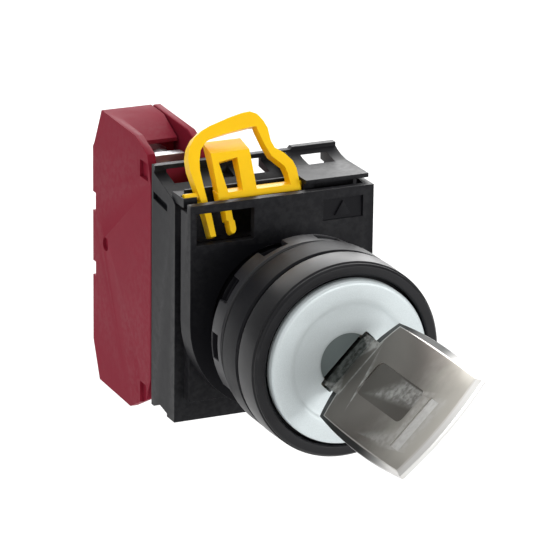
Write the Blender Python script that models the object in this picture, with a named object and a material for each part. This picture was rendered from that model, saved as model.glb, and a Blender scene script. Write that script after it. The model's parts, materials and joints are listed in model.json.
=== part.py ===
"""Selector key switch, 22 mm panel type: key operator, contact mounting adaptor and one contact block.

Frame: millimetres until the last step, +X right and +Z up seen from the front, +Y towards the back.
The origin is on the operator axis, in the plane where the panel meets the gasket.
The key is in, and turned to the right-hand position, 45 degrees from upright.
"""
import math

import bmesh
import bpy
from mathutils import Matrix, Vector

MM = 0.001
GAP = 0.3                 # between pieces that rest on each other
FINE_GAP = 0.1            # between small pieces that nearly touch
ROUND = 40                # sides of a large turned piece
SMALL_ROUND = 16          # sides of a small turned piece
FAR = 100.0               # a cutter that runs right through

# operator
BEZEL_RADIUS = 15.0
BEZEL_FRONT = -12.5
BEZEL_BACK = -7.0
FLANGE_FRONT = -6.4
GASKET_THICKNESS = 0.9
SPIGOT_RADIUS = 13.0
SPIGOT_BORE = 11.6
SPIGOT_FRONT = -10.9
SPIGOT_DEPTH = -3.5       # where the spigot's bore steps down to the barrel's
BARREL_RADIUS = 10.9
BARREL_BORE = 8.9
BARREL_BACK = 18.0
BAYONET_RADIUS = 12.2
BAYONET_HALF = 12.0       # degrees either side of its middle
BAYONET_Y = (15.4, 17.0)
THREAD_PITCH = 1.5
THREAD_DEPTH = 0.75
THREAD_START = 0.6
THREAD_TURNS = 7
THREAD_STEPS = 4          # rows of points in one pitch
THREAD_SIDES = 32

# locking ring
RING_FRONT = 0.3
RING_THICKNESS = 4.0
RING_RADIUS = 14.4
RING_BORE = 11.2
RING_NOTCHES = 10

# dial, lock and key
DIAL_RADIUS = 12.47
DIAL_FRONT = -13.4
DIAL_DISH_RADIUS = 9.0
DIAL_RECESS_RADIUS = 4.3
DIAL_RECESS_Y = -12.2
SELECTOR_ANGLE = 45.0     # the key's width is this far from horizontal
SELECTOR_TRAVEL = 90.0
STOP_END = 34.0           # where the housing's stop ring ends, from +X towards +Z
STOP_TOOTH = 20.0         # degrees covered by the dial's stop tooth
PLUG_RADIUS = 6.0
PLUG_FRONT = -10.6
PLUG_BACK = 11.6
SLEEVE_RADIUS = 8.6
SLEEVE_FRONT = -3.1
SLEEVE_BACK = 11.3
KEY_THICKNESS = 1.6
BLADE_WIDTH = 7.4
BLADE_TIP = 9.6
NECK_WIDTH = 9.6
NECK_BACK = -12.2
# half the width, back and front at the corners; how far the side, back and front edges swell past them
BOW_RIM = (8.85, -16.95, -42.9, 0.85, 2.35, 1.0)
BOW_FIELD = (8.4, -18.45, -41.9, 0.2, 1.65, 0.95)
BOW_BORDER_DEPTH = 0.4
BOW_EDGE_STEPS = 4
BITTING = (0.6, 1.1, 0.35, 0.9, 0.6)     # depths of the blade's cuts
WAFER_COUNT = len(BITTING)
WAFER_FIRST = -1.4
WAFER_PITCH = 2.4
WAFER_THICKNESS = 0.9

# cam and follower
CAM_FRONT = 12.0
CAM_LOW = 16.0
CAM_LIFT = 3.0
CAM_RADIUS = 8.4
CAM_HUB = 15.2
CAM_TRACK = 4.9
TAIL_RADIUS = 3.0
FOLLOWER_Y = CAM_LOW + CAM_LIFT + GAP
DETENT_Y = 14.0

# adaptor
PLATE_FRONT = 10.3
PLATE_BACK = 13.9
BODY_FRONT = 16.1
BODY_BACK = 25.0
HALF_WIDTH = 15.0
PLATE_TOP = 18.6
RIM_THICKNESS = 1.3
GROOVE_FLOOR = 17.2       # of the groove behind the plate's top rim
SHELF_LEFT = 4.6
SHELF_FRONT = 12.2
SHELF_TOP = 19.8
SHELF_BOTTOM = 19.15
SLOPE = ((16.1, 17.2), (17.0, 17.9), (24.0, 19.9))     # y, z of the top's left and middle part
BAR_FRONT = 23.8
BAR_BOTTOM = 20.4
BAR_TOP = 21.1
BODY_BOTTOM = -17.3
WALL = 1.4
FRONT_WALL = 1.8
RIB = 1.1                 # between neighbouring bays
BAY_PITCH = 10.0
# left, right and front of the top's windows
WINDOWS = ((-13.0, -8.7, 20.9), (-1.3, 2.6, 20.9), (8.6, 13.0, 19.6))
LABEL = ((6.6, 13.8), (13.2, 17.1))     # x, z of the recess that holds the up mark
LABEL_DEPTH = 0.35
LEVER_ROOM = 11.65                      # floor of the space behind the plate's rim

# locking lever
LEVER_PIVOT = (14.4, 18.7)      # y, z
LEVER_LEAN = 28.0
LEVER_DEPTH = 1.8
LEVER_FOOT_BOTTOM = -1.1
LEVER_OUTER = ((-11.6, -6.4), (-11.9, -2.8), (-12.0, -1.2), (-12.5, 1.5), (-12.9, 3.9), (-12.85, 5.7),
               (-12.3, 7.3), (-11.3, 8.6), (-9.9, 9.6), (-8.4, 10.2), (-5.2, 11.1), (-2.9, 11.6),
               (-1.6, 11.7), (-0.5, 11.2), (0.3, 10.1), (0.8, 8.9), (0.9, 6.9), (1.3, 5.8), (2.7, 4.8),
               (3.8, 3.5), (4.2, 2.3), (4.3, -1.1))
LEVER_INNER = ((-10.7, -6.4), (-10.8, -3.0), (-11.0, -1.2), (-11.2, 1.4), (-11.3, 3.7), (-11.1, 5.1),
               (-10.6, 6.7), (-9.6, 7.8), (-8.2, 8.4), (-5.2, 8.9), (-1.9, 9.3), (-1.0, 9.3), (-0.9, 8.7),
               (-0.2, 6.3), (0.5, 4.6), (2.3, 2.8), (2.6, 1.7), (2.8, -1.1))
LEVER_STUB = 0.6

# contact block
BLOCK_X = -10.05
BLOCK_LEFT = -15.0
BLOCK_RIGHT = -5.1
BLOCK_FRONT = 25.3
BLOCK_BACK = 48.4
BLOCK_Z = 1.85
BLOCK_WALL = 1.3
COVER_THICKNESS = 1.3
CONTACT_GAP = 2.4
BLOCK_TOP_OUTLINE = ((0.0, 15.7), (1.4, 20.2), (6.1, 21.9), (19.5, 22.35), (22.5, 16.4), (23.1, 15.6))
BLOCK_BOTTOM_OUTLINE = ((0.0, 15.3), (1.5, 19.0), (8.0, 22.35), (20.5, 22.1), (23.1, 16.1))
TERMINAL_Z = 15.7               # from the block's middle
FRONT_SILL = 18.6               # from the block's middle, where the wire openings start
STRIP_Y = 30.0
STRIP_THICKNESS = 0.8
TIP_HEIGHT = 0.7
TIP_Z = 6.2                     # from the block's middle
BRIDGE_THICKNESS = 0.8
WINDOW_LENGTH = 5.1             # of the plunger's window, from the bridge's front
SPRING_SEAT = 6.6               # from the bridge's front to the return spring's front
OVERTRAVEL = 0.6                # of the plunger, after the bridge has met the fixed tips


def clear_scene():
    for obj in list(bpy.data.objects):
        bpy.data.objects.remove(obj, do_unlink=True)


# ---------------------------------------------------------------- building blocks

def finish(name, colour, roughness, metallic):
    """The piece's own Principled material."""
    material = bpy.data.materials.new(name + "_finish")
    material.use_nodes = True
    shader = material.node_tree.nodes["Principled BSDF"]
    shader.inputs["Base Color"].default_value = (*colour, 1.0)
    shader.inputs["Roughness"].default_value = roughness
    shader.inputs["Metallic"].default_value = metallic
    return material


def black(name):
    return finish(name, (0.022, 0.022, 0.025), 0.45, 0.0)


def red(name):
    return finish(name, (0.24, 0.03, 0.055), 0.5, 0.0)


def yellow(name):
    return finish(name, (0.95, 0.58, 0.01), 0.4, 0.0)


def silver(name):
    return finish(name, (0.62, 0.66, 0.68), 0.35, 0.7)


def nickel(name):
    return finish(name, (0.45, 0.43, 0.40), 0.28, 1.0)


def brass(name):
    return finish(name, (0.66, 0.47, 0.19), 0.32, 1.0)


def steel(name):
    return finish(name, (0.55, 0.56, 0.58), 0.35, 1.0)


def ivory(name):
    return finish(name, (0.78, 0.75, 0.68), 0.5, 0.0)


def rubber(name):
    return finish(name, (0.015, 0.015, 0.016), 0.8, 0.0)


def to_object(name, bm, material=None):
    """A mesh object in metres from a bmesh drawn in millimetres."""
    bmesh.ops.recalc_face_normals(bm, faces=bm.faces)
    bmesh.ops.scale(bm, vec=(MM, MM, MM), verts=bm.verts)
    mesh = bpy.data.meshes.new(name)
    bm.to_mesh(mesh)
    bm.free()
    obj = bpy.data.objects.new(name, mesh)
    bpy.context.scene.collection.objects.link(obj)
    if material:
        mesh.materials.append(material)
        mesh.shade_smooth()
        mesh.set_sharp_from_angle(angle=math.radians(35))
    return obj


def turned_bmesh(profile, sides):
    """Spin (y, radius) points round the Y axis. A profile that doesn't touch the axis is a closed loop."""
    bm = bmesh.new()
    verts = [bm.verts.new((radius, y, 0.0)) for y, radius in profile]
    edges = [bm.edges.new(pair) for pair in zip(verts, verts[1:])]
    if min(radius for _, radius in profile) > 0:
        edges.append(bm.edges.new((verts[-1], verts[0])))
    bmesh.ops.spin(bm, geom=verts + edges, cent=(0, 0, 0), axis=(0, 1, 0), angle=math.tau,
                   steps=sides, use_merge=True)
    bmesh.ops.remove_doubles(bm, verts=bm.verts, dist=1e-5)
    return bm


def turned(name, profile, material=None, sides=ROUND):
    return to_object(name, turned_bmesh(profile, sides), material)


def around(name, ring_at, sides, material=None):
    """A ring-shaped body whose (y, radius) section may change with the angle."""
    bm = bmesh.new()
    grid = []
    for k in range(sides):
        angle = math.tau * k / sides
        grid.append([bm.verts.new((radius * math.cos(angle), y, radius * math.sin(angle)))
                     for y, radius in ring_at(angle)])
    for k in range(sides):
        here, following = grid[k], grid[(k + 1) % sides]
        for j in range(len(here)):
            after = (j + 1) % len(here)
            bm.faces.new((here[j], here[after], following[after], following[j]))
    return to_object(name, bm, material)


def prism_bmesh(outline, axis, low, high):
    """Extrude a 2D outline along an axis. The outline is (y, z), (x, z) or (x, y) for X, Y or Z."""
    place = {
        "X": lambda a, b, t: (t, a, b),
        "Y": lambda a, b, t: (a, t, b),
        "Z": lambda a, b, t: (a, b, t),
    }[axis]
    bm = bmesh.new()
    face = bm.faces.new([bm.verts.new(place(a, b, low)) for a, b in outline])
    grown = bmesh.ops.extrude_face_region(bm, geom=[face])
    moved = [item for item in grown["geom"] if isinstance(item, bmesh.types.BMVert)]
    bmesh.ops.translate(bm, vec=place(0.0, 0.0, high - low), verts=moved)
    return bm


def prism(name, outline, axis, low, high, material=None):
    return to_object(name, prism_bmesh(outline, axis, low, high), material)


def box(name, low, high, material=None):
    outline = [(low[0], low[2]), (high[0], low[2]), (high[0], high[2]), (low[0], high[2])]
    return prism(name, outline, "Y", low[1], high[1], material)


def rod(name, centre, radius, low, high, material=None, sides=SMALL_ROUND, axis="Y"):
    """A round bar along an axis; centre is the two other coordinates."""
    outline = [(centre[0] + radius * math.cos(a), centre[1] + radius * math.sin(a))
               for a in (math.tau * k / sides for k in range(sides))]
    return prism(name, outline, axis, low, high, material)


def arc(centre, radius, start, end, steps):
    """Points on an arc, angles in degrees."""
    return [(centre[0] + radius * math.cos(math.radians(start + (end - start) * k / steps)),
             centre[1] + radius * math.sin(math.radians(start + (end - start) * k / steps)))
            for k in range(steps + 1)]


def sector(name, inner, outer, start, end, low, high, steps=8, material=None):
    """A piece of a ring round the Y axis, angles in degrees from +X towards +Z."""
    outline = arc((0, 0), outer, start, end, steps) + arc((0, 0), inner, end, start, steps)
    return prism(name, outline, "Y", low, high, material)


def rounded(points, radius, steps=3):
    """Round the corners of a closed outline."""
    result = []
    count = len(points)
    for k in range(count):
        here = Vector(points[k])
        before = (Vector(points[k - 1]) - here).normalized()
        after = (Vector(points[(k + 1) % count]) - here).normalized()
        half = before.angle(after) / 2
        if half > math.radians(86):
            result.append(tuple(here))
            continue
        centre = here + (before + after).normalized() * radius / math.sin(half)
        first = here + before * radius / math.tan(half) - centre
        last = here + after * radius / math.tan(half) - centre
        turn = first.angle_signed(last)
        for step in range(steps + 1):
            angle = -turn * step / steps
            result.append((centre.x + first.x * math.cos(angle) - first.y * math.sin(angle),
                           centre.y + first.x * math.sin(angle) + first.y * math.cos(angle)))
    return result


def boolean(target, tool, operation):
    """Add or take away one body, and keep the tool as a hidden guide."""
    modifier = target.modifiers.new(operation.title(), "BOOLEAN")
    modifier.operation = operation
    modifier.solver = "EXACT"
    modifier.object = tool
    tool.hide_render = True
    tool.display_type = "WIRE"
    tool.parent = target.parent
    return target


def cut(target, *tools):
    for tool in tools:
        boolean(target, tool, "DIFFERENCE")
    return target


def join(target, *tools):
    for tool in tools:
        boolean(target, tool, "UNION")
    return target


def axis_empty(name, location, rotation=(0.0, 0.0, 0.0)):
    """An empty on a joint's axis; location in millimetres, rotation in degrees."""
    empty = bpy.data.objects.new(name, None)
    empty.location = Vector(location) * MM
    empty.rotation_euler = [math.radians(angle) for angle in rotation]
    bpy.context.scene.collection.objects.link(empty)
    return empty


def parented(empty, *pieces):
    """Pieces drawn in the empty's own frame, with their cutters and their cutters' cutters."""
    for piece in pieces:
        piece.parent = empty
        parented(empty, *[modifier.object for modifier in piece.modifiers if modifier.type == "BOOLEAN"])
    return pieces


def coil(name, start, end, radius, wire, turns, material, sides=4, per_turn=8):
    """A closed helical spring between two points, its end turns flat."""
    begin = Vector(start)
    along = Vector(end) - begin
    length = along.length
    frame = along.to_track_quat("Z", "Y").to_matrix()
    steps = int(turns * per_turn)
    bm = bmesh.new()
    rings = []
    for k in range(steps + 1):
        turn = k / per_turn
        ramp = min(max((turn - 0.75) / (turns - 1.5), 0.0), 1.0)
        angle = math.tau * turn
        outward = Vector((math.cos(angle), math.sin(angle), 0))
        height = wire + (length - 2 * wire) * ramp
        ring = []
        for side in range(sides):
            roll = math.tau * side / sides
            local = outward * (radius + wire * math.cos(roll))
            local.z = height + wire * math.sin(roll)
            ring.append(bm.verts.new(begin + frame @ local))
        rings.append(ring)
    for first, second in zip(rings, rings[1:]):
        for side in range(sides):
            other = (side + 1) % sides
            bm.faces.new((first[side], first[other], second[other], second[side]))
    bm.faces.new(rings[0][::-1])
    bm.faces.new(rings[-1])
    return to_object(name, bm, material)


# ---------------------------------------------------------------- operator

def thread_radius(y, angle):
    """Radius of the barrel's right-hand trapezoidal thread at a height and an angle."""
    end = THREAD_START + THREAD_PITCH * THREAD_TURNS
    if y <= THREAD_START or y >= end:
        return BARREL_RADIUS - THREAD_DEPTH
    phase = ((y - THREAD_START) / THREAD_PITCH + angle / math.tau) % 1.0
    crest = min(max(1.5 - abs(phase - 0.5) * 5.0, 0.0), 1.0)
    fade = min((y - THREAD_START) / THREAD_PITCH, (end - y) / THREAD_PITCH, 1.0)
    return BARREL_RADIUS - THREAD_DEPTH * (1.0 - crest * fade)


def housing_ring(angle):
    """The housing's section at one angle, as (y, radius): spigot, flange, threaded barrel, bore."""
    flange_back = -GASKET_THICKNESS - GAP
    relief = BARREL_RADIUS - THREAD_DEPTH
    step = THREAD_PITCH / THREAD_STEPS
    rows = [THREAD_START + step * k for k in range(THREAD_TURNS * THREAD_STEPS + 1)]
    return ([(SPIGOT_FRONT, SPIGOT_BORE), (SPIGOT_FRONT, SPIGOT_RADIUS), (FLANGE_FRONT, SPIGOT_RADIUS),
             (FLANGE_FRONT, BEZEL_RADIUS - 0.3), (FLANGE_FRONT + 0.3, BEZEL_RADIUS),
             (flange_back - 0.4, BEZEL_RADIUS), (flange_back, BEZEL_RADIUS - 0.35), (flange_back, relief)]
            + [(y, thread_radius(y, angle)) for y in rows]
            + [(rows[-1] + 0.4, BARREL_RADIUS - 0.3), (BARREL_BACK - 0.3, BARREL_RADIUS - 0.3),
               (BARREL_BACK, BARREL_RADIUS - 0.6), (BARREL_BACK, BARREL_BORE), (SPIGOT_DEPTH, BARREL_BORE),
               (SPIGOT_DEPTH, SPIGOT_BORE)])


def make_operator_housing():
    """Flange, front spigot and threaded barrel in one black moulding."""
    housing = around("operator_housing", housing_ring, THREAD_SIDES, black("operator_housing"))
    locating_lug = box("housing_lug", (-1.5, -2.0, 9.6), (1.5, 0.9, 11.9))
    stop_start = STOP_END + SELECTOR_TRAVEL + STOP_TOOTH + 2
    stop_ring = sector("housing_stop", 9.7, 11.9, stop_start, STOP_END + 360, -4.6, -3.2, 20)
    bayonets = [sector("housing_bayonet", 9.6, BAYONET_RADIUS, side - BAYONET_HALF, side + BAYONET_HALF,
                       *BAYONET_Y, 4) for side in (0, 180)]
    groove = box("housing_groove", (-10.1, 12.2, -1.5), (-8.0, FAR, 1.5))
    detent_pocket = rod("housing_pocket", (0.0, DETENT_Y), 0.95, -FAR, -7.6, axis="Z", sides=12)
    leaf_seat = box("housing_leaf_seat", (-1.0, DETENT_Y - 1.8, -FAR), (1.0, DETENT_Y + 1.8, -10.2))
    join(housing, locating_lug, stop_ring, *bayonets)
    cut(housing, groove, detent_pocket, leaf_seat)
    return housing


def make_bezel_ring():
    """The front ring that closes over the housing's spigot."""
    inner = SPIGOT_RADIUS + GAP
    return turned("bezel_ring", [
        (BEZEL_BACK, inner), (BEZEL_BACK, BEZEL_RADIUS - 0.3), (BEZEL_BACK - 0.3, BEZEL_RADIUS + 0.1),
        (-11.7, BEZEL_RADIUS - 0.1), (-11.85, BEZEL_RADIUS - 0.25), (-12.25, BEZEL_RADIUS - 0.25),
        (BEZEL_FRONT, BEZEL_RADIUS - 0.5), (BEZEL_FRONT, SPIGOT_RADIUS + 0.35),
        (-12.2, SPIGOT_RADIUS), (-11.3, SPIGOT_RADIUS), (-11.3, inner)],
        black("bezel_ring"))


def make_panel_gasket():
    gasket = turned("panel_gasket", [
        (-GASKET_THICKNESS, 11.3), (-GASKET_THICKNESS, 14.5), (0.0, 14.5), (0.0, 11.3)],
        rubber("panel_gasket"))
    return cut(gasket, box("gasket_notch", (-1.8, -FAR, 9.0), (1.8, FAR, 12.2)))


def make_locking_ring():
    """Castellated nut: notches for the ring spanner, some of them closed at the back."""
    back = RING_FRONT + RING_THICKNESS
    ring = turned("locking_ring", [
        (RING_FRONT, 12.4), (RING_FRONT, RING_RADIUS - 0.3), (RING_FRONT + 0.3, RING_RADIUS),
        (back - 0.5, RING_RADIUS), (back, RING_RADIUS - 0.5), (back, RING_BORE),
        (1.5, RING_BORE), (1.5, 12.4)], black("locking_ring"))
    pitch = 360 / RING_NOTCHES
    for k in range(RING_NOTCHES):
        middle = 75 + pitch * k
        notch_back = back - 0.7 if k % 3 == 0 else FAR
        cut(ring, sector("ring_notch", 12.9, 20.0, middle - 8, middle + 8, 1.7, notch_back, 2))
    return ring


def make_cylinder_sleeve():
    """Fixed brass sleeve that the lock plug turns in, with a groove for the wafers."""
    sleeve = turned("cylinder_sleeve", [
        (SLEEVE_FRONT, PLUG_RADIUS + 0.15), (SLEEVE_FRONT, SLEEVE_RADIUS),
        (SLEEVE_BACK, SLEEVE_RADIUS), (SLEEVE_BACK, PLUG_RADIUS + 0.15)],
        brass("cylinder_sleeve"), sides=32)
    groove = box("sleeve_groove", (-1.5, -2.4, -FAR), (1.5, 10.0, FAR))
    groove.rotation_euler = (0, math.radians(90 - SELECTOR_ANGLE), 0)
    depth = turned("sleeve_depth", [(-2.4, 0), (-2.4, 7.3), (10.0, 7.3), (10.0, 0)], sides=32)
    boolean(groove, depth, "INTERSECT")
    return cut(sleeve, groove)


def make_detent():
    """Steel detent pin in a pocket of the barrel, pressed towards the cam's rim by a short leaf spring."""
    pin = turned("detent_pin", [(0, 0), (0, 0.75), (0.95, 0.75), (1.3, 0.45), (1.45, 0)],
                 steel("detent_pin"), sides=12)
    pin.rotation_euler = (math.radians(90), 0, 0)
    pin.location = Vector((0, DETENT_Y, -10.15)) * MM
    name = "detent_spring"
    box(name, (-0.7, DETENT_Y - 1.5, -10.75), (0.7, DETENT_Y + 1.5, -10.45), steel(name))


# ---------------------------------------------------------------- turning pieces, key's width along X

def make_key_dial():
    """Silver face: flat rim, dish with a round recess, key slot, and a skirt that turns in the housing."""
    dish = [(-12.55 - 0.85 * (r / DIAL_DISH_RADIUS) ** 3, r) for r in (DIAL_RECESS_RADIUS, 5.5, 7.0, 8.2)]
    profile = ([(DIAL_RECESS_Y, 0), (DIAL_RECESS_Y, DIAL_RECESS_RADIUS)] + dish + [
        (DIAL_FRONT, DIAL_DISH_RADIUS), (DIAL_FRONT, DIAL_RADIUS - 0.35), (DIAL_FRONT + 0.35, DIAL_RADIUS),
        (-11.6, DIAL_RADIUS), (-11.3, DIAL_RADIUS - 0.3), (-11.3, 11.2), (-4.9, 11.2),
        (-4.9, 9.8), (-10.9, 9.8), (-10.9, 0)])
    dial = turned("key_dial", profile, silver("key_dial"))
    tooth_start = STOP_END + 1 - SELECTOR_ANGLE
    tooth = sector("dial_tooth", 9.9, 11.1, tooth_start, tooth_start + STOP_TOOTH, -5.3, -3.9, 4)
    half = KEY_THICKNESS / 2 + GAP
    slot = box("dial_slot", (-NECK_WIDTH / 2 - GAP, -FAR, -half), (NECK_WIDTH / 2 + GAP, FAR, half))
    join(dial, tooth)
    return cut(dial, slot)


def wafer_y(index):
    return WAFER_FIRST + WAFER_PITCH * index


def make_lock_plug():
    """Brass plug with a keyway, wafer slots and a flatted tail for the cam."""
    plug = turned("lock_plug", [
        (PLUG_FRONT, 0), (PLUG_FRONT, 8.6), (PLUG_FRONT + 2.0, 8.6), (PLUG_FRONT + 2.0, PLUG_RADIUS),
        (PLUG_BACK, PLUG_RADIUS), (PLUG_BACK, TAIL_RADIUS), (17.9, TAIL_RADIUS), (18.3, TAIL_RADIUS - 0.4),
        (18.3, 0)], brass("lock_plug"), sides=24)
    keyway = box("plug_keyway", (-BLADE_WIDTH / 2 - 0.25, -FAR, -1.0), (BLADE_WIDTH / 2 + 0.25, 10.2, 1.0))
    cut(plug, keyway)
    for k in range(WAFER_COUNT):
        low, high = wafer_y(k) - 0.7, wafer_y(k) + 0.7
        slot = box("plug_slot", (-FAR, low, -2.8), (FAR, high, 2.8))
        join(slot, box("plug_spring_slot", (-3.7, low, 2.0), (3.2, high, 4.75)))
        cut(plug, slot)
    for low, high in ((-9.0, -2.3), (2.3, 9.0)):
        cut(plug, box("plug_flat", (-FAR, CAM_FRONT, low), (FAR, FAR, high)))
    groove = turned("plug_groove", [(16.2, 2.5), (16.2, 4.0), (17.1, 4.0), (17.1, 2.5)], sides=16)
    return cut(plug, groove)


def make_wafer(index):
    """One wafer: a window for the blade and a wing for its spring."""
    y = wafer_y(index)
    low, high = y - WAFER_THICKNESS / 2, y + WAFER_THICKNESS / 2
    name = f"wafer_{index + 1}"
    outline = [(-5.2, -2.5), (5.2, -2.5), (5.2, 2.5), (2.4, 2.5), (2.4, 4.4), (1.4, 4.4), (1.4, 2.5),
               (-5.2, 2.5)]
    wafer = prism(name, outline, "Y", low, high, brass(name))
    return cut(wafer, box("wafer_window", (-4.1, -FAR, -1.1), (4.1, FAR, 1.1)))


def make_wafer_spring(index):
    name = f"wafer_spring_{index + 1}"
    y = wafer_y(index)
    return coil(name, (-3.5, y, 3.65), (1.3, y, 3.65), 0.38, 0.13, 4, steel(name), per_turn=6)


def make_cam_clip():
    """Open retaining clip in the tail's groove, behind the cam."""
    clip = turned("cam_clip", [(16.35, 2.7), (16.35, 4.4), (16.95, 4.4), (16.95, 2.7)],
                  steel("cam_clip"), sides=16)
    return cut(clip, box("clip_mouth", (-1.6, -FAR, 0.0), (1.6, FAR, FAR)))


def cam_ring(angle):
    """The cam's section: its track is high under the follower now, and low after the key's travel back."""
    world = (math.degrees(angle) + SELECTOR_ANGLE) % 360
    climb = (world - SELECTOR_TRAVEL) / SELECTOR_TRAVEL if world < 205 else 0.0
    track = CAM_LOW + CAM_LIFT * min(max(climb, 0.0), 1.0)
    bore = TAIL_RADIUS + 0.25
    return [(CAM_FRONT, bore), (CAM_FRONT, CAM_RADIUS), (track, CAM_RADIUS), (track, CAM_TRACK),
            (CAM_HUB, CAM_TRACK), (CAM_HUB, bore)]


def make_drive_cam():
    """Ivory face cam: one helical ramp of constant slope, and detent seats in its rim."""
    cam = around("drive_cam", cam_ring, 48, ivory("drive_cam"))
    for seat in (270, 180):
        turn = math.radians(seat - SELECTOR_ANGLE)
        centre = (9.2 * math.cos(turn), 9.2 * math.sin(turn))
        cut(cam, rod("cam_seat", centre, 1.3, 12.8, 15.2, sides=12))
    return cam


def bow_outline(inset=0.0):
    """The bow's four swelling edges; inset 0 is its rim and inset 1 is the edge of its raised field."""
    half, back, front, side_bulge, back_bulge, front_bulge = (
        rim + (field - rim) * inset for rim, field in zip(BOW_RIM, BOW_FIELD))
    middle, reach = (back + front) / 2, (back - front) / 2
    steps = [2 * k / BOW_EDGE_STEPS - 1 for k in range(BOW_EDGE_STEPS)]
    return ([(half * t, back + back_bulge * (1 - t * t)) for t in steps]
            + [(half + side_bulge * (1 - t * t), middle - reach * t) for t in steps]
            + [(-half * t, front - front_bulge * (1 - t * t)) for t in steps]
            + [(-half - side_bulge * (1 - t * t), middle + reach * t) for t in steps])


def make_key():
    """Nickel key: a bow with a raised field, a neck that fills the dial's slot, and a bitted blade."""
    half = KEY_THICKNESS / 2
    key = prism("key", bow_outline(), "Z", -half, half, nickel("key"))
    neck = box("key_neck", (-NECK_WIDTH / 2, BOW_RIM[1], -half), (NECK_WIDTH / 2, NECK_BACK, half))
    edge = BLADE_WIDTH / 2
    blade = prism("key_blade", [(-edge, NECK_BACK - 1), (edge, NECK_BACK - 1), (edge, BLADE_TIP - 2.2),
                                (1.2, BLADE_TIP), (-1.2, BLADE_TIP), (-edge, BLADE_TIP - 2.2)],
                  "Z", -half + FINE_GAP, half - FINE_GAP)
    join(key, neck, blade)
    for side in (-1, 1):
        for k, depth in enumerate(BITTING):
            y, tip = wafer_y(k), side * (edge - depth)
            cut(key, prism("key_bit", [(tip, y - 0.5), (side * (edge + 0.5), y - 1.1),
                                       (side * (edge + 0.5), y + 1.1), (tip, y + 0.5)], "Z", -FAR, FAR))
        warding = box("key_warding", (-0.7, NECK_BACK, side * 2 - 1.6), (0.7, FAR, side * 2 + 1.6))
        cut(key, warding)
        cut(key, bow_border(side))
    return key


def bow_border(side):
    """The sloping border round the bow's raised field, as a frame to take away from one face."""
    top = side * KEY_THICKNESS / 2
    low, clear = top - side * BOW_BORDER_DEPTH, top + side
    bm = bmesh.new()
    rings = []
    for inset, height in ((-0.8, clear), (-0.8, low), (0.0, low), (1.0, top), (1.0, clear)):
        rings.append([bm.verts.new((x, y, height)) for x, y in bow_outline(inset)])
    for k in range(len(rings)):
        first, second = rings[k], rings[(k + 1) % len(rings)]
        for j in range(len(first)):
            after = (j + 1) % len(first)
            bm.faces.new((first[j], first[after], second[after], second[j]))
    return to_object("key_border", bm)


# ---------------------------------------------------------------- follower and contact mechanism

def make_cam_follower():
    """Slides in the barrel's groove: a foot on the cam track and a pad on the contact plunger."""
    pad_front, pad_back = FOLLOWER_Y + 2.3, FOLLOWER_Y + 3.7
    follower = box("cam_follower", (-11.6, pad_front, -1.9), (-5.6, pad_back, 3.7), ivory("cam_follower"))
    foot = prism("follower_foot", [(-0.8, pad_front + 0.4), (-0.8, FOLLOWER_Y + 0.35), (-0.3, FOLLOWER_Y),
                                   (0.3, FOLLOWER_Y), (0.8, FOLLOWER_Y + 0.35), (0.8, pad_front + 0.4)],
                 "Z", -8.2, -5.6)
    foot.rotation_euler = (0, math.radians(90), 0)
    tongue = box("follower_tongue", (-9.8, FOLLOWER_Y - 3.8, -1.2), (-8.9, pad_front + 0.4, 1.2))
    return join(follower, foot, tongue)


def make_contact_plunger():
    """Ivory plunger: round stem, a window that carries the contact bridge, and a spring post."""
    name = "contact_plunger"
    bridge_front = bridge_y()
    window_front, window_back = bridge_front - GAP, bridge_front + WINDOW_LENGTH
    body_low, body_high = window_front - 1.6, bridge_front + SPRING_SEAT
    plunger = box(name, (BLOCK_X - 2.7, body_low, BLOCK_Z - 1.8),
                  (BLOCK_X + 2.7, body_high, BLOCK_Z + 1.8), ivory(name))
    stem = rod("plunger_stem", (BLOCK_X, BLOCK_Z), 1.6, FOLLOWER_Y + 3.7 + GAP, body_low + 0.5)
    post = rod("plunger_post", (BLOCK_X, BLOCK_Z), 0.9, body_high - 0.5, body_high + 2.4, sides=12)
    window = box("plunger_window", (BLOCK_X - 1.7, window_front, -FAR), (BLOCK_X + 1.7, window_back, FAR))
    join(plunger, stem, post)
    return cut(plunger, window)


def bridge_y():
    """Front of the bridge's bar: its tips stand one contact gap behind the fixed tips."""
    fixed_face = STRIP_Y + STRIP_THICKNESS + FINE_GAP + TIP_HEIGHT
    return fixed_face + FINE_GAP + CONTACT_GAP + TIP_HEIGHT + FINE_GAP


def make_contact_bridge():
    y = bridge_y()
    name = "contact_bridge"
    bridge = box(name, (BLOCK_X - 1.4, y, BLOCK_Z - 8.0),
                 (BLOCK_X + 1.4, y + BRIDGE_THICKNESS, BLOCK_Z + 8.0), brass(name))
    for side in (-1, 1):
        cut(bridge, rod("bridge_hole", (BLOCK_X, BLOCK_Z + side * TIP_Z), 0.8, -FAR, FAR, sides=12))
    return bridge


def make_block_springs():
    """The contact spring in the plunger's window, as long as when the contact is closed, and the
    return spring behind the plunger."""
    front = bridge_y() + BRIDGE_THICKNESS + OVERTRAVEL + FINE_GAP
    back = bridge_y() + WINDOW_LENGTH - FINE_GAP
    coil("contact_spring", (BLOCK_X, front, BLOCK_Z), (BLOCK_X, back, BLOCK_Z), 1.05, 0.2, 5,
         steel("contact_spring"))
    front = bridge_y() + SPRING_SEAT + FINE_GAP
    back = BLOCK_BACK - BLOCK_WALL - FINE_GAP
    coil("return_spring", (BLOCK_X, front, BLOCK_Z), (BLOCK_X, back, BLOCK_Z), 1.55, 0.25, 5,
         steel("return_spring"))


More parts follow.
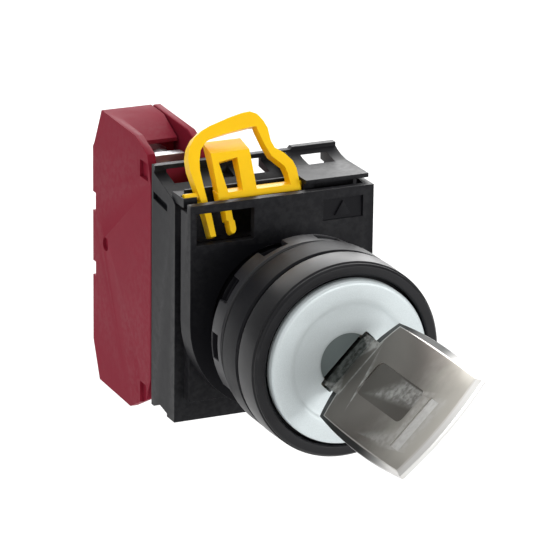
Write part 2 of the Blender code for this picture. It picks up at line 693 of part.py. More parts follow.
def make_rivet(name, head_y, direction, plate_thickness, z):
    """A silver contact rivet: head on one side of a plate, shank through it, upset end behind."""
    back = plate_thickness + 2 * FINE_GAP
    profile = [(-TIP_HEIGHT, 0), (-TIP_HEIGHT, 1.0), (-TIP_HEIGHT + 0.25, 1.45), (0.0, 1.45), (0.0, 0.7),
               (back, 0.7), (back, 1.05), (back + 0.3, 1.05), (back + 0.3, 0)]
    silver_alloy = finish(name, (0.8, 0.8, 0.78), 0.3, 1.0)
    rivet = turned(name, [(y * direction, r) for y, r in profile], silver_alloy, 12)
    rivet.location = Vector((BLOCK_X, head_y, z)) * MM
    return rivet


def make_terminal(name, side):
    """Tin-plated strip from the clamp screw to the fixed contact tip."""
    z_tip, z_end = BLOCK_Z + side * 4.4, BLOCK_Z + side * (TERMINAL_Z + 3.1)
    strip = box(name, (BLOCK_X - 2.6, STRIP_Y, min(z_tip, z_end)),
                (BLOCK_X + 2.6, STRIP_Y + STRIP_THICKNESS, max(z_tip, z_end)), steel(name))
    tip_hole = rod("strip_tip_hole", (BLOCK_X, BLOCK_Z + side * TIP_Z), 0.8, -FAR, FAR, sides=12)
    screw_hole = rod("strip_screw_hole", (BLOCK_X, BLOCK_Z + side * TERMINAL_Z), 1.9, -FAR, FAR)
    return cut(strip, tip_hole, screw_hole)


def make_clamp_washer(name, side):
    """Square clamp washer with turned-down corners against its turning."""
    z, y = BLOCK_Z + side * TERMINAL_Z, STRIP_Y + STRIP_THICKNESS + GAP
    outline = rounded([(BLOCK_X - 3.1, z - 3.0), (BLOCK_X + 3.1, z - 3.0), (BLOCK_X + 3.1, z + 3.0),
                       (BLOCK_X - 3.1, z + 3.0)], 0.5, 2)
    washer = prism(name, outline, "Y", y, y + 0.9, steel(name))
    return cut(washer, rod("washer_hole", (BLOCK_X, z), 1.9, -FAR, FAR))


def make_terminal_screw(name, side):
    """M3.5 screw whose cross-slotted head faces the back. Drawn round its own axis."""
    head = STRIP_Y + STRIP_THICKNESS + 0.9 + 2 * GAP
    screw = turned(name, [(27.6, 0), (27.6, 1.3), (28.1, 1.7), (head, 1.7), (head, 2.9), (head + 1.6, 2.9),
                          (head + 2.1, 2.4), (head + 2.1, 0)], steel(name), 16)
    slot = box("screw_slot", (-0.35, head + 1.1, -2.2), (0.35, FAR, 2.2))
    cross = box("screw_cross", (-2.2, head + 1.1, -0.35), (2.2, FAR, 0.35))
    cut(screw, slot, cross)
    return parented(axis_empty(name + "_axis", (BLOCK_X, 0, BLOCK_Z + side * TERMINAL_Z)), screw)


def block_outline():
    """Side view of the contact block, front at the left, as (y, z)."""
    top = [(BLOCK_FRONT + y, BLOCK_Z + z) for y, z in BLOCK_TOP_OUTLINE]
    bottom = [(BLOCK_FRONT + y, BLOCK_Z - z) for y, z in BLOCK_BOTTOM_OUTLINE]
    return top + bottom[::-1]


def make_block_housing():
    """Red moulding: outer wall, rim, terminal chambers and screwdriver wells, open towards the cover."""
    right = BLOCK_RIGHT - COVER_THICKNESS - GAP
    inner = BLOCK_LEFT + BLOCK_WALL
    housing = prism("block_housing", block_outline(), "X", BLOCK_LEFT, right, red("block_housing"))
    chamber = box("block_chamber", (inner, BLOCK_FRONT + BLOCK_WALL, BLOCK_Z - 9.6),
                  (FAR, BLOCK_BACK - BLOCK_WALL, BLOCK_Z + 9.6))
    stem_hole = rod("block_stem_hole", (BLOCK_X, BLOCK_Z), 1.8, -FAR, BLOCK_FRONT + 2)
    cut(housing, chamber, stem_hole)
    for side in (-1, 1):
        cut(housing, terminal_chamber(side, inner))
        z = BLOCK_Z + side * TERMINAL_Z
        cut(housing, rod("block_well", (BLOCK_X, z), 3.2, BLOCK_FRONT + 6, FAR))
        slot_low, slot_high = sorted((BLOCK_Z + side * 9.0, BLOCK_Z + side * 12.0))
        cut(housing, box("block_slot", (BLOCK_X - 2.9, STRIP_Y - GAP, slot_low),
                         (FAR, STRIP_Y + STRIP_THICKNESS + GAP, slot_high)))
    for low, high in ((7.1, 10.1), (-3.5, -1.2)):
        cut(housing, box("block_back_notch", (-FAR, BLOCK_BACK - 1.1, low), (FAR, FAR, high)))
    for low, high in (((26.4, 17.9), (29.6, 20.6)), ((27.0, -18.4), (29.4, -15.0))):
        cut(housing, box("block_hook_recess", (-FAR, *low), (BLOCK_LEFT + 0.6, *high)))
    dimple = rod("block_dimple", (43.3, 2.9), 1.1, -FAR, BLOCK_LEFT + 0.5, axis="X", sides=16)
    return cut(housing, dimple)


def terminal_chamber(side, inner):
    """Space round one terminal, open to the front and outwards, with a sloping lead-in for the wire."""
    inside = BLOCK_FRONT + BLOCK_WALL
    outline = [(BLOCK_FRONT - 5, FRONT_SILL), (inside, FRONT_SILL), (inside, 11.0),
               (35.9, 11.0), (35.9, 19.3), (34.5, 19.3), (34.5, 19.9), (40.3, 22.4), (40.3, 40.0),
               (BLOCK_FRONT - 5, 40.0)]
    points = [(y, BLOCK_Z + side * z) for y, z in outline]
    return prism("block_terminal_chamber", points, "X", inner, FAR)


def make_block_cover():
    """Red side cover that closes the block's chambers."""
    cover = prism("block_cover", block_outline(), "X", BLOCK_RIGHT - COVER_THICKNESS, BLOCK_RIGHT,
                  red("block_cover"))
    for low, high in ((7.1, 10.1), (-3.5, -1.2)):
        cut(cover, box("cover_back_notch", (-FAR, BLOCK_BACK - 1.1, low), (FAR, FAR, high)))
    return cover


# ---------------------------------------------------------------- adaptor and lever

def make_adaptor_plate():
    """Front plate: a square top over a round bottom, with a lever window under a thin rim."""
    outline = arc((0, 0), HALF_WIDTH, 180, 360, 24) + [(HALF_WIDTH, PLATE_TOP), (-HALF_WIDTH, PLATE_TOP)]
    plate = prism("adaptor_plate", outline, "Y", PLATE_FRONT, PLATE_BACK, black("adaptor_plate"))
    bore = rod("plate_bore", (0, 0), BARREL_RADIUS + 0.4, -FAR, FAR, sides=ROUND)
    window = box("plate_window", (-14.0, -FAR, 12.4), (-4.7, FAR, 17.3))
    lever_room = box("plate_lever_room", (-13.2, PLATE_FRONT + RIM_THICKNESS, LEVER_ROOM), (5.5, FAR, FAR))
    groove = box("plate_groove", (-FAR, PLATE_FRONT + RIM_THICKNESS, GROOVE_FLOOR), (13.8, FAR, FAR))
    (left, low), (right, high) = LABEL
    label = box("plate_label", (left, -FAR, low), (right, PLATE_FRONT + LABEL_DEPTH, high))
    cut(plate, bore, window, lever_room, groove, label)
    for side in (40, 220):
        cut(plate, sector("plate_bayonet_slot", 9.0, 12.7, side - 14, side + 14, -FAR, FAR, 4))
    middle = (left + right) / 2
    triangle = [(middle - 1.3, low + 0.6), (middle + 1.3, low + 0.6), (middle, high - 0.5)]
    up_mark = prism("plate_up_mark", triangle, "Y", PLATE_FRONT, PLATE_FRONT + LABEL_DEPTH + 0.25)
    return join(plate, up_mark)


def body_outline():
    """Side view of the adaptor's shell at its right edge, as (y, z), with the shelf reaching forward."""
    crest = BAR_TOP - 0.2
    return [(BODY_FRONT, BODY_BOTTOM), (BODY_BACK, BODY_BOTTOM), (BODY_BACK, crest), (BAR_FRONT, crest),
            (23.0, 20.5), (21.8, 20.1), (20.0, SHELF_TOP), (SHELF_FRONT, SHELF_TOP),
            (SHELF_FRONT, SHELF_BOTTOM), (BODY_FRONT, SHELF_BOTTOM)]


def make_bay(middle):
    """Space for one contact block, open at the back, under a thin sloping ceiling."""
    edge = HALF_WIDTH - WALL
    low = max(middle - BAY_PITCH / 2 + RIB / 2, -edge)
    high = min(middle + BAY_PITCH / 2 - RIB / 2, edge)
    front, floor = BODY_FRONT + FRONT_WALL, BODY_BOTTOM + WALL
    return prism("body_bay", [(front, floor), (BODY_BACK + 1, floor), (BODY_BACK + 1, 18.8),
                              (19.7, 18.1), (front, 16.9)], "X", low, high)


def make_adaptor_body():
    """Rear shell: sloping top with a raised shelf on the right, windows under a rear bar, open bays."""
    w, bottom = HALF_WIDTH, BODY_BOTTOM
    body = prism("adaptor_body", body_outline(), "X", -w, w, black("adaptor_body"))
    over_slope = [(10.0, SLOPE[0][1]), *SLOPE, (SLOPE[-1][0], 30.0), (10.0, 30.0)]
    cut(body, prism("body_over_slope", over_slope, "X", -FAR, SHELF_LEFT))
    inner = BODY_FRONT + FRONT_WALL
    neck = box("body_neck", (-13.4, PLATE_BACK + GAP, -13.6), (13.4, BODY_FRONT + 0.5, SHELF_BOTTOM + 0.2))
    rear_bar = box("body_rear_bar", (-w, BAR_FRONT, BAR_BOTTOM), (w, BODY_BACK, BAR_TOP))
    raised_bar = prism("body_raised_bar", [(6.9, BAR_TOP - 0.5), (w, BAR_TOP - 0.5), (w, BAR_TOP + 0.4),
                                           (7.7, BAR_TOP + 0.4)], "Y", BAR_FRONT, BODY_BACK)
    pivot_y, pivot_z = LEVER_PIVOT
    lug_floor = GROOVE_FLOOR + GAP
    left_lug = box("body_left_lug", (-14.8, 13.4, lug_floor), (-12.6, 17.6, pivot_z + 0.2))
    right_lug = box("body_right_lug", (SHELF_LEFT, pivot_y - 1.5, lug_floor),
                    (SHELF_LEFT + 1.7, BODY_FRONT + 0.5, SHELF_TOP - 0.2))
    join(body, neck, rear_bar, raised_bar)
    cut(body, box("body_lever_room", (-13.45, -FAR, LEVER_ROOM), (SHELF_LEFT, BODY_FRONT, 30.0)))
    join(body, left_lug, right_lug)
    cut(body, *[make_bay(middle) for middle in (-BAY_PITCH, 0.0, BAY_PITCH)])
    for low, high, front in WINDOWS:
        cut(body, box("body_window", (low, front, 16.5), (high, FAR, BAR_BOTTOM)))
    cut(body, box("body_pocket", (-5.3, 20.8, 18.75), (-3.2, 23.6, FAR)))
    bore = rod("body_bore", (0, 0), BARREL_RADIUS + 0.4, -FAR, 21.0, sides=ROUND)
    rib_relief = box("body_rib_relief", (-12.9, inner, -9.0), (12.9, FAR, 9.0))
    pivot = rod("body_pivot", LEVER_PIVOT, LEVER_STUB + 0.15, -14.6, 6.3, axis="X", sides=16)
    corner = prism("body_corner", [(BODY_BACK - 6.0, bottom - 1), (BODY_BACK - 6.0, bottom + 0.5),
                                   (BODY_BACK - 3.2, bottom + 1.0), (BODY_BACK + 1, bottom - 0.9),
                                   (BODY_BACK + 1, bottom - 1)], "X", -FAR, FAR)
    side_groove = prism("body_side_groove", [(19.1, 15.3), (24.3, 15.9), (24.3, 17.0), (19.1, 16.4)], "X",
                        -FAR, -w + 0.6)
    cut(body, bore, rib_relief, pivot, corner, side_groove)
    reach = BAYONET_HALF + 4
    for side in (0, 180):
        cut(body, sector("body_bayonet_slot", 9.0, BAYONET_RADIUS + 0.5, side - reach, side + reach,
                         0.0, inner + FINE_GAP, 4))
    return body


def make_locking_lever():
    """Yellow lever: sprung outer loop, stiff thumb tab with a window, tail, foot bar and pivot stubs."""
    depth, bottom = LEVER_DEPTH / 2, LEVER_FOOT_BOTTOM
    name = "locking_lever"
    lever = prism(name, LEVER_OUTER + LEVER_INNER[::-1], "Y", -depth, depth, yellow(name))
    tab = prism("lever_tab", [(-depth, bottom), (depth, bottom), (depth, 2.0), (depth + 0.8, 8.3),
                              (-depth, 6.0)], "X", -9.1, -2.8)
    cut(tab, prism("lever_window", [(-8.1, 4.6), (-7.4, -0.6), (-5.1, -0.6), (-5.0, 5.0)], "Y", -FAR, FAR))
    tail = prism("lever_tail", [(-8.6, -0.8), (-8.6, -4.2), (-8.3, -4.4), (-8.3, -5.7), (-8.1, -6.2),
                                (-7.8, -6.3), (-7.5, -6.1), (-7.3, -5.6), (-7.3, -4.4), (-7.5, -4.2),
                                (-7.5, -0.8)], "Y", -depth, depth)
    foot = prism("lever_foot", [(-depth, bottom), (depth, bottom), (depth, 0.8), (-depth, -0.1)],
                 "X", -9.2, 4.2)
    stubs = [rod("lever_stub", (0, 0), LEVER_STUB, low, high, axis="X", sides=16)
             for low, high in ((-14.4, -11.7), (3.7, SHELF_LEFT + 1.0))]
    join(lever, tab, tail, foot, *stubs)
    pivot = axis_empty("lever_axis", (0, *LEVER_PIVOT), (-LEVER_LEAN, 0, 0))
    return parented(pivot, lever)


# ---------------------------------------------------------------- the assembly

def build():
    clear_scene()
    make_operator_housing()
    make_bezel_ring()
    make_panel_gasket()
    make_locking_ring()
    make_cylinder_sleeve()
    make_detent()
    rotor = axis_empty("selector_axis", (0, 0, 0), (0, -SELECTOR_ANGLE, 0))
    parented(rotor, make_key_dial(), make_lock_plug(), make_cam_clip(), make_drive_cam(), make_key())
    for k in range(WAFER_COUNT):
        parented(rotor, make_wafer(k), make_wafer_spring(k))
    make_cam_follower()
    make_contact_plunger()
    make_contact_bridge()
    make_block_springs()
    fixed_head = STRIP_Y + STRIP_THICKNESS + FINE_GAP
    for side, place in ((1, "upper"), (-1, "lower")):
        z = BLOCK_Z + side * TIP_Z
        make_terminal("terminal_" + place, side)
        make_rivet("fixed_tip_" + place, fixed_head, -1, STRIP_THICKNESS, z)
        make_rivet("bridge_tip_" + place, bridge_y() - FINE_GAP, 1, BRIDGE_THICKNESS, z)
        make_clamp_washer("clamp_washer_" + place, side)
        make_terminal_screw("terminal_screw_" + place, side)
    make_block_housing()
    make_block_cover()
    make_adaptor_plate()
    make_adaptor_body()
    make_locking_lever()


build()
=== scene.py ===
"""Looks of the selector key switch: moulded plastics, painted dial, nickel key, floor, light and camera.

Lengths in the drawing functions are millimetres in the CAD's frame; meshes are made in metres.
"""
import json
import math

import bmesh
import bpy
from mathutils import Matrix, Vector

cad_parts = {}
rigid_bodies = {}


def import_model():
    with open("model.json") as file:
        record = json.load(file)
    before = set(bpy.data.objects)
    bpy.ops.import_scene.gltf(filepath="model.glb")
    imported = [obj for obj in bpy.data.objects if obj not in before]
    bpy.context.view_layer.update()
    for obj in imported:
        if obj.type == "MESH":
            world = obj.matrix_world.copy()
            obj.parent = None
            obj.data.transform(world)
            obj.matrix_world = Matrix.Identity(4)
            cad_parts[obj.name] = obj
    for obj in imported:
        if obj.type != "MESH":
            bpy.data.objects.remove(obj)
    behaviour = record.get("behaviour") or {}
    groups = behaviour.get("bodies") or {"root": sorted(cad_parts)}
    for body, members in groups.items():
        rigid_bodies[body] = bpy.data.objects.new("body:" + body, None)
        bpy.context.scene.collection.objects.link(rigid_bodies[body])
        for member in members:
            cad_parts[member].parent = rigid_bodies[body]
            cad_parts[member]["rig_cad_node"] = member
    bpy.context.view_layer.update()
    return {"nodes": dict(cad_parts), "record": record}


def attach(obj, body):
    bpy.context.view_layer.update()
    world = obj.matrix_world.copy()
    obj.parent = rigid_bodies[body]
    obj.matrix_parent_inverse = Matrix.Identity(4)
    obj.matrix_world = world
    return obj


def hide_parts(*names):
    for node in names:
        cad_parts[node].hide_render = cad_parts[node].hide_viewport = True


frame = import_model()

MM = 0.001

# round pieces: radius of the dial's recess; the barrel's right-hand thread
RECESS_RADIUS = 4.3
THREAD = {"start": 0.6, "pitch": 1.5, "turns": 7, "radius": 10.9, "depth": 0.75, "rows": 16}
BARREL_END = 18.0

# castellated ring: ten notches, with their half angle, first place and root radius
NOTCHES = 10
NOTCH_HALF_ANGLE = 8
FIRST_NOTCH = 75
NOTCH_ROOT = 12.9

# key: half its thickness, drop of its sloping border, turn about the operator's axis
KEY_HALF = 0.8
BORDER_DEPTH = 0.4
KEY_TURN = 45.0
# bow: half the width, back and front at the corners; how far the side, back and front edges swell past them
BOW_RIM = (8.85, -16.95, -42.9, 0.85, 2.35, 1.0)
BOW_FIELD = (8.4, -18.45, -41.9, 0.2, 1.65, 0.95)
# plain sunk fields of the bow: x from and to, y from and to, and their depth
TRAY = (-3.0, 2.8, -34.6, -20.6)
STRIP = (-6.2, 2.6, -39.0, -36.6)
SUNK_DEPTH = 0.12
# blade: half its width; first cut, its pitch, its half width, and each cut's depth
BLADE_HALF = 3.7
FIRST_CUT = -1.4
CUT_PITCH = 2.4
CUT_HALF = 0.7
CUT_DEPTHS = (0.6, 1.1, 0.35, 0.9, 0.6)

NODES = frame["nodes"]
BODY_OF = {node: body for body, nodes in frame["record"]["behaviour"]["bodies"].items() for node in nodes}
SLOT_OF = {part["node"]: part["material_slot"] for part in frame["record"]["subparts"]}


# ---------------------------------------------------------------- materials

class Tree:
    """Short names for the node tree of one material."""

    def __init__(self, name):
        self.material = bpy.data.materials.new(name)
        self.material.use_nodes = True
        self.nodes = self.material.node_tree.nodes
        self.links = self.material.node_tree.links
        self.shader = self.nodes["Principled BSDF"]
        self.coords = self.nodes.new("ShaderNodeTexCoord").outputs["Object"]

    def link(self, source, target):
        self.links.new(source, target)

    def position(self):
        """X, Y and Z of the point in the object's own frame, in mm."""
        parts = self.nodes.new("ShaderNodeSeparateXYZ")
        self.link(self.coords, parts.inputs["Vector"])
        return [self.math("DIVIDE", parts.outputs[axis], MM) for axis in "XYZ"]

    def stretched(self, scale, turn=(0.0, 0.0, 0.0)):
        mapping = self.nodes.new("ShaderNodeMapping")
        mapping.inputs["Scale"].default_value = scale
        mapping.inputs["Rotation"].default_value = turn
        self.link(self.coords, mapping.inputs["Vector"])
        return mapping.outputs["Vector"]

    def noise(self, size_mm, detail, vector=None):
        noise = self.nodes.new("ShaderNodeTexNoise")
        noise.inputs["Scale"].default_value = 1.0 / (size_mm * MM)
        noise.inputs["Detail"].default_value = detail
        noise.inputs["Roughness"].default_value = 0.55
        self.link(vector or self.coords, noise.inputs["Vector"])
        return noise.outputs["Fac"]

    def span(self, value, low_in, high_in, low_out, high_out):
        node = self.nodes.new("ShaderNodeMapRange")
        node.interpolation_type = "SMOOTHSTEP"
        sockets = ("From Min", "From Max", "To Min", "To Max")
        for socket, number in zip(sockets, (low_in, high_in, low_out, high_out)):
            node.inputs[socket].default_value = number
        self.link(value, node.inputs["Value"])
        return node.outputs["Result"]

    def math(self, operation, first, second=None):
        node = self.nodes.new("ShaderNodeMath")
        node.operation = operation
        for socket, value in zip(node.inputs, (first, second)):
            if value is None:
                continue
            if isinstance(value, (int, float)):
                socket.default_value = value
            else:
                self.link(value, socket)
        return node.outputs["Value"]

    def product(self, *factors):
        result = factors[0]
        for factor in factors[1:]:
            result = self.math("MULTIPLY", result, factor)
        return result

    def mix(self, factor, first, second):
        node = self.nodes.new("ShaderNodeMix")
        node.data_type = "RGBA"
        self.link(factor, node.inputs["Factor"])
        for socket, value in zip((node.inputs[6], node.inputs[7]), (first, second)):
            if isinstance(value, tuple):
                socket.default_value = (*value, 1.0)
            else:
                self.link(value, socket)
        return node.outputs[2]

    def bump(self, *layers):
        """Bump from (height, strength, depth in mm) layers, one on another."""
        normal = None
        for height, strength, depth in layers:
            node = self.nodes.new("ShaderNodeBump")
            node.inputs["Strength"].default_value = strength
            node.inputs["Distance"].default_value = depth * MM
            self.link(height, node.inputs["Height"])
            if normal:
                self.link(normal, node.inputs["Normal"])
            normal = node.outputs["Normal"]
        self.link(normal, self.shader.inputs["Normal"])

    def edges(self, amount, low=0.52, high=0.60):
        """Where edges are handled and rubbed, broken up by a fine noise; on the moulded plastics their paler
        colour is also a painted sheen.
        """
        geometry = self.nodes.new("ShaderNodeNewGeometry")
        rim = self.span(geometry.outputs["Pointiness"], low, high, 0.0, amount)
        return self.math("MULTIPLY", rim, self.span(self.noise(0.9, 4.0), 0.35, 0.65, 0.3, 1.0))


def scaled(colour, factor):
    return tuple(min(channel * factor, 1.0) for channel in colour)


def moulded(name, colour, roughness, grain=0.22, worn=0.3, specular=0.25, scatter=0.0):
    """Moulded plastic: fine spark-eroded grain, faint flow marks, slightly polished edges, paler partly from
    wear and partly as a painted sheen.
    """
    tree = Tree(name)
    shader = tree.shader
    flow = tree.noise(5.0, 2.0, tree.stretched((1.0, 0.45, 1.0)))
    body = tree.mix(tree.span(flow, 0.3, 0.7, 0.0, 1.0), scaled(colour, 0.98), scaled(colour, 1.02))
    # paler edges: partly wear, partly a painted sheen standing in for light caught on the rounded edges
    edge_wear_and_sheen = tuple(channel * 0.9 + 0.04 for channel in colour)
    rubbed = tree.edges(worn)
    tree.link(tree.mix(rubbed, body, edge_wear_and_sheen), shader.inputs["Base Color"])
    patches = tree.span(tree.noise(1.7, 4.0), 0.3, 0.7, roughness - 0.012, roughness + 0.018)
    tree.link(tree.math("SUBTRACT", patches, tree.product(rubbed, 0.2)), shader.inputs["Roughness"])
    tree.bump((tree.noise(3.4, 1.0), 0.08, 0.012), (tree.noise(0.14, 2.0), grain, 0.010))
    shader.inputs["Specular IOR Level"].default_value = specular
    if scatter:
        shader.inputs["Subsurface Weight"].default_value = scatter
        shader.inputs["Subsurface Radius"].default_value = (0.0012, 0.0006, 0.0002)
        shader.inputs["Subsurface Scale"].default_value = 1.0
    return tree.material


def metal(name, colour, roughness, brushed=(1.0, 1.0, 1.0), tarnish=0.12):
    """Plated or drawn metal: directional fine lines, faint stains, bright rubbed edges, a few scratches."""
    tree = Tree(name)
    shader = tree.shader
    shader.inputs["Metallic"].default_value = 1.0
    stain = tree.span(tree.noise(3.2, 5.0), 0.35, 0.72, 0.0, 1.0)
    body = tree.mix(stain, colour, scaled(colour, 1 - tarnish))
    rubbed = tree.edges(0.8)
    tree.link(tree.mix(rubbed, body, scaled(colour, 1.22)), shader.inputs["Base Color"])
    lines = tree.noise(0.22, 3.0, tree.stretched(brushed))
    base = tree.span(lines, 0.3, 0.7, roughness - 0.05, roughness + 0.07)
    tree.link(tree.math("ADD", base, tree.product(stain, 0.06)), shader.inputs["Roughness"])
    fine = tree.nodes.new("ShaderNodeTexVoronoi")
    fine.feature = "DISTANCE_TO_EDGE"
    fine.inputs["Scale"].default_value = 1.0 / (3.5 * MM)
    tree.link(tree.coords, fine.inputs["Vector"])
    hairline = tree.span(fine.outputs["Distance"], 0.0, 0.012, 0.0, 1.0)
    tree.bump((tree.noise(4.0, 1.0), 0.2, 0.03), (lines, 0.10, 0.006), (hairline, 0.12, 0.004))
    return tree.material


def key_metal(name):
    """Nickel plate of the key: painted dark reflections round its border and neck, and a painted reflection
    gradient brightening towards the far end.
    """
    tree = Tree(name)
    shader = tree.shader
    shader.inputs["Metallic"].default_value = 1.0
    x, y, z = tree.position()
    height = tree.product(tree.math("ABSOLUTE", tree.math("SUBTRACT", z, x)), math.sqrt(0.5))
    across = tree.product(tree.math("ADD", z, x), math.sqrt(0.5))

    # the raised field, painted as a reflection gradient that is dark near the neck and brighter towards the
    # far end, broken up by soft clouds, and its two sunk fields
    slant = tree.math("ADD", y, tree.product(across, 0.12))
    clouds = tree.product(tree.math("SUBTRACT", tree.noise(3.0, 4.0), 0.5), 6.0)
    far = tree.span(tree.math("ADD", slant, clouds), -41.5, -27.5, 1.0, 0.0)
    field = tree.mix(far, (0.235, 0.212, 0.192), (0.62, 0.595, 0.54))
    in_strip = tree.span(y, -35.8, -35.4, 1.0, 0.0)
    sunk = tree.mix(in_strip, (0.150, 0.136, 0.122), (0.92, 0.91, 0.88))
    middle = tree.product(tree.span(tree.math("ABSOLUTE", across), 6.2, 6.6, 1.0, 0.0),
                          tree.span(y, -19.9, -19.6, 1.0, 0.0), tree.span(y, -40.2, -40.0, 0.0, 1.0))
    low = tree.span(height, KEY_HALF - 0.12, KEY_HALF - 0.07, 1.0, 0.0)
    field = tree.mix(tree.product(low, middle), field, sunk)

    # the sloping border and the neck, painted dark as dark reflections, and a painted highlight along the
    # crest of the field's edge
    outside = tree.math("SUBTRACT", 1.0, middle)
    # painted dark reflection on the sloping border, darkest near the neck
    border = tree.mix(tree.span(y, -41.5, -30.0, 1.0, 0.0), (0.030, 0.031, 0.030), (0.80, 0.79, 0.77))
    body = tree.mix(tree.product(low, outside), field, border)
    # painted highlight: a pale band along the rounded crest of the field's edge
    crest = tree.product(tree.span(height, KEY_HALF - 0.10, KEY_HALF - 0.06, 0.0, 1.0),
                         tree.span(height, KEY_HALF - 0.03, KEY_HALF - 0.004, 1.0, 0.0), outside)
    body = tree.mix(crest, body, (0.70, 0.68, 0.65))
    # painted dark reflection: the polished neck is painted near black
    neck = tree.span(y, -15.6, -15.0, 0.0, 0.9)
    body = tree.mix(neck, body, (0.060, 0.050, 0.044))
    tree.link(tree.mix(tree.edges(0.7, 0.60, 0.72), body, (0.72, 0.70, 0.67)), shader.inputs["Base Color"])

    lines = tree.noise(0.25, 2.0, tree.stretched((5.0, 0.3, 5.0), (0.0, math.radians(KEY_TURN), 0.0)))
    worn = tree.span(lines, 0.3, 0.7, 0.31, 0.37)
    tree.link(tree.math("SUBTRACT", worn, tree.product(neck, 0.16)), shader.inputs["Roughness"])
    tree.bump((tree.noise(5.0, 1.0), 0.08, 0.02), (lines, 0.01, 0.002))
    return tree.material


def painted_dial(name):
    """Silver-painted plastic: fine flakes, and a darker disc in the recess round the key slot."""
    tree = Tree(name)
    shader = tree.shader
    silver, recess = (0.63, 0.69, 0.70), (0.20, 0.24, 0.24)
    flake = tree.span(tree.noise(0.07, 1.0), 0.35, 0.7, 0.0, 1.0)
    paint = tree.mix(flake, scaled(silver, 0.94), scaled(silver, 1.06))
    x, _, z = tree.position()
    radius = tree.math("SQRT", tree.math("ADD", tree.product(x, x), tree.product(z, z)))
    inside = tree.span(radius, RECESS_RADIUS - 0.06, RECESS_RADIUS + 0.02, 1.0, 0.0)
    tree.link(tree.mix(inside, paint, recess), shader.inputs["Base Color"])
    shader.inputs["Metallic"].default_value = 0.15
    tree.link(tree.span(tree.noise(1.4, 3.0), 0.3, 0.7, 0.36, 0.46), shader.inputs["Roughness"])
    tree.bump((tree.noise(0.1, 2.0), 0.08, 0.006))
    return tree.material


BLACK = moulded("black_plastic", (0.0085, 0.0085, 0.0105), 0.42, specular=0.10)
BLACK_RING = moulded("black_ring_plastic", (0.016, 0.016, 0.019), 0.40, specular=0.35)
BLACK_SATIN = moulded("black_satin_plastic", (0.0090, 0.0090, 0.0105), 0.36, grain=0.12)
RED = moulded("red_plastic", (0.240, 0.015, 0.033), 0.50, specular=0.03)
YELLOW = moulded("yellow_plastic", (0.98, 0.58, 0.004), 0.36, grain=0.10, worn=0.1, scatter=0.15)
IVORY = moulded("ivory_plastic", (0.72, 0.68, 0.58), 0.45, scatter=0.1)
RUBBER = moulded("gasket_rubber", (0.008, 0.008, 0.009), 0.75, grain=0.4, worn=0.1)
SILVER_DIAL = painted_dial("silver_dial_paint")
NICKEL = key_metal("nickel_plate")
PLATED = metal("plated_brass", (0.22, 0.20, 0.17), 0.30)
BRASS = metal("brass", (0.72, 0.50, 0.20), 0.30, (1.0, 0.2, 1.0))
STEEL = metal("zinc_plated_steel", (0.58, 0.59, 0.61), 0.33)
CONTACT_SILVER = metal("contact_silver", (0.80, 0.79, 0.76), 0.28, tarnish=0.25)

MATERIAL_OF_SLOT = {
    "black_plastic": BLACK, "gasket_rubber": RUBBER, "brass_metal": BRASS, "steel": STEEL,
    "silver_dial": SILVER_DIAL, "nickel": NICKEL, "ivory_plastic": IVORY,
    "contact_silver": CONTACT_SILVER, "red_plastic": RED, "yellow_plastic": YELLOW,
}


# ---------------------------------------------------------------- drawing

def shaded(obj, material, sharp=38.0):
    mesh = obj.data
    mesh.materials.clear()
    mesh.materials.append(material)
    mesh.shade_smooth()
    mesh.set_sharp_from_angle(angle=math.radians(sharp))
    return obj


def round_edges(obj, width_mm, segments, angle):
    """Bevel the edges that are sharper than an angle in degrees."""
    bevel = obj.modifiers.new("Edges", "BEVEL")
    bevel.width = width_mm * MM
    bevel.segments = segments
    bevel.limit_method = "ANGLE"
    bevel.angle_limit = math.radians(angle)
    bevel.harden_normals = True


def placed(name, bm, material, sharp=38.0):
    """A new object in metres from a bmesh in millimetres."""
    bmesh.ops.recalc_face_normals(bm, faces=bm.faces)
    bmesh.ops.scale(bm, vec=(MM, MM, MM), verts=bm.verts)
    mesh = bpy.data.meshes.new(name)
    bm.to_mesh(mesh)
    bm.free()
    obj = bpy.data.objects.new(name, mesh)
    bpy.context.scene.collection.objects.link(obj)
    return shaded(obj, material, sharp)


def stands_for(obj, node):
    """The piece rides as its CAD node does, and the node is hidden."""
    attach(obj, BODY_OF[node])
    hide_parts(node)
    return obj


def filleted(points, radius, steps=4):
    """Round the corners of a closed outline, less where its sides are short."""
    result = []
    count = len(points)
    for k in range(count):
        here = Vector(points[k])
        before, after = Vector(points[k - 1]) - here, Vector(points[(k + 1) % count]) - here
        reach = min(before.length, after.length) * 0.45
        before.normalize()
        after.normalize()
        half = before.angle(after) / 2
        if half > math.radians(84):
            result.append(tuple(here))
            continue
        size = min(radius, reach * math.tan(half))
        centre = here + (before + after).normalized() * size / math.sin(half)
        first = here + before * size / math.tan(half) - centre
        last = here + after * size / math.tan(half) - centre
        turn = first.angle_signed(last)
        for step in range(steps + 1):
            angle = -turn * step / steps
            result.append((centre.x + first.x * math.cos(angle) - first.y * math.sin(angle),
                           centre.y + first.x * math.sin(angle) + first.y * math.cos(angle)))
    return result


def swept(rings, closed=True):
    """A bmesh of quads through rings of points; the rings close on each other, or end in caps."""
    bm = bmesh.new()
    grid = [[bm.verts.new(point) for point in ring] for ring in rings]
    pairs = list(zip(grid, grid[1:] + grid[:1] if closed else grid[1:]))
    for first, second in pairs:
        for j in range(len(first)):
            after = (j + 1) % len(first)
            bm.faces.new((first[j], first[after], second[after], second[j]))
    if not closed:
        bm.faces.new(grid[0][::-1])
        bm.faces.new(grid[-1])
    return bm


